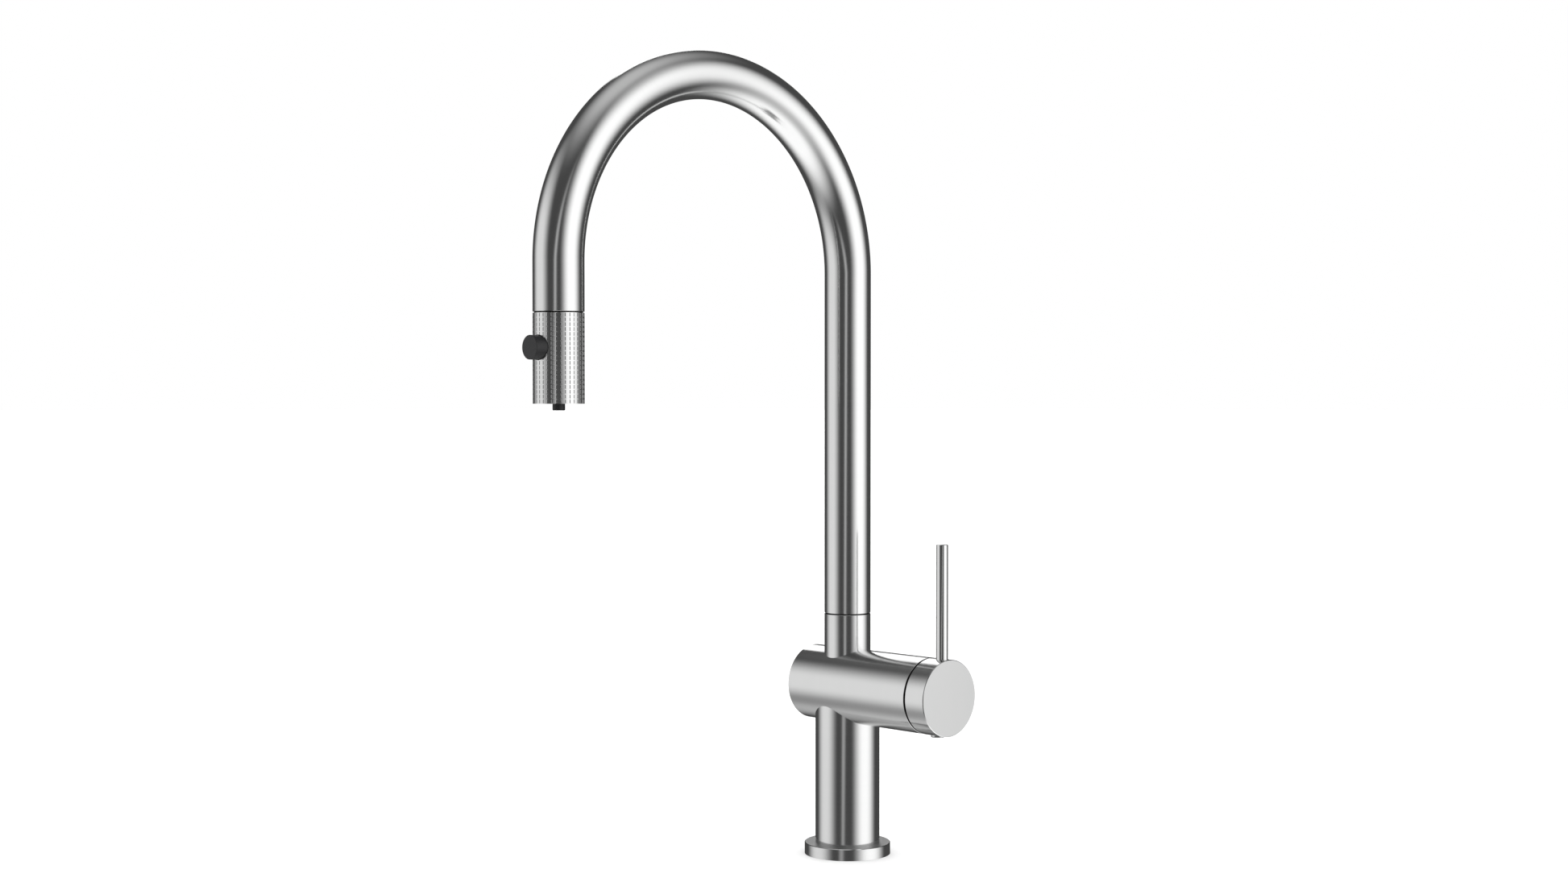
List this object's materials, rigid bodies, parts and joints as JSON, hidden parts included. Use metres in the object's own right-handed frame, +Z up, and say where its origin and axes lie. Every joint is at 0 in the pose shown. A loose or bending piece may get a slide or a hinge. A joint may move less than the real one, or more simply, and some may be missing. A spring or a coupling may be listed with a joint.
{
  "type": "pull-down kitchen faucet",
  "caption": "Single-hole kitchen mixer with a swivelling gooseneck, a pull-down spray head with a button and a side lever on a horizontal barrel.",
  "frame": {"origin": "centre of the base flange's underside, on the riser's axis, at the worktop's surface", "axes": "+Z up along the riser, -Y from the riser towards the spray head (the user's side), +X along the barrel towards the lever"},
  "size_m": [0.1126, 0.2666, 0.5656],
  "materials": {
    "brushed_steel": "brushed lengthwise, satin",
    "plain_steel": "plain turned steel",
    "black_plastic": "fine matt",
    "light_plastic": "moulded acetal",
    "raw_brass": "machined",
    "copper_pipe": "drawn copper",
    "black_rubber": "moulded rubber",
    "grey_silicone": "moulded silicone",
    "white_ceramic": "lapped ceramic",
    "hose_braid": "woven nylon"
  },
  "bodies": {
    "body": {"column": "brushed_steel", "barrel": "brushed_steel", "riser_stub": "brushed_steel", "barrel_end_cap": "brushed_steel", "base_flange": "brushed_steel", "base_seal": "black_rubber", "threaded_shank": "raw_brass", "deck_rubber_washer": "black_rubber", "deck_steel_washer": "plain_steel", "mounting_nut": "raw_brass", "inlet_manifold": "raw_brass", "hot_pipe": "copper_pipe", "cold_pipe": "copper_pipe", "mixed_pipe": "copper_pipe", "outlet_tube": "copper_pipe", "cartridge_seat": "raw_brass", "cartridge_base_seal": "black_rubber", "cartridge_housing": "light_plastic", "fixed_ceramic_disc": "white_ceramic", "stem_glide_washer": "light_plastic", "cartridge_nut": "raw_brass", "cap_glide_ring": "black_plastic", "swivel_spigot": "raw_brass", "swivel_glide_ring": "black_plastic", "spout_retaining_ring": "plain_steel", "body_hose": "hose_braid"},
    "lever": {"moving_ceramic_disc": "white_ceramic", "cartridge_stem": "light_plastic", "stem_o_ring": "black_rubber", "lever_insert": "raw_brass", "lever_cap": "brushed_steel", "lever_rod": "brushed_steel", "grub_screw": "plain_steel", "grub_screw_plug": "brushed_steel"},
    "spout": {"spout_tube": "brushed_steel", "spout_bush": "black_plastic", "dock_bush": "black_plastic", "gooseneck_hose": "hose_braid"},
    "spray_head": {"pull_hose": "hose_braid", "hose_ferrule": "plain_steel", "hose_tail": "raw_brass", "hose_nut": "raw_brass", "hose_seal": "black_rubber", "spray_inlet": "raw_brass", "check_valve": "light_plastic", "spray_core": "black_plastic", "spray_shell": "brushed_steel", "spray_face": "black_plastic", "spray_jets": "grey_silicone", "stream_nozzle": "black_plastic", "button_spring": "plain_steel"},
    "button": {"spray_button": "black_plastic", "diverter_spool": "light_plastic", "spool_o_rings": "black_rubber"}
  },
  "joints": [
    {"name": "spout_swivel", "type": "hinge", "parent": "body", "child": "spout", "pos_m": [0, 0, 0.1464], "axis": [0, 0, 1], "continuous": true},
    {"name": "spray_pull", "type": "slide", "parent": "spout", "child": "spray_head", "axis": [0, 0, -1], "range_m": [0, 0.25], "deforming": ["pull_hose"]},
    {"name": "button_press", "type": "slide", "parent": "spray_head", "child": "button", "axis": [0, 1, 0], "range_m": [0, 0.0022], "stiffness_N_per_m": 1500, "springref_m": -0.001, "deforming": ["button_spring"]},
    {"name": "lever_turn", "type": "hinge", "parent": "body", "child": "lever", "pos_m": [0.078, 0, 0.1024], "axis": [1, 0, 0], "range_deg": [0, 110]}
  ]
}
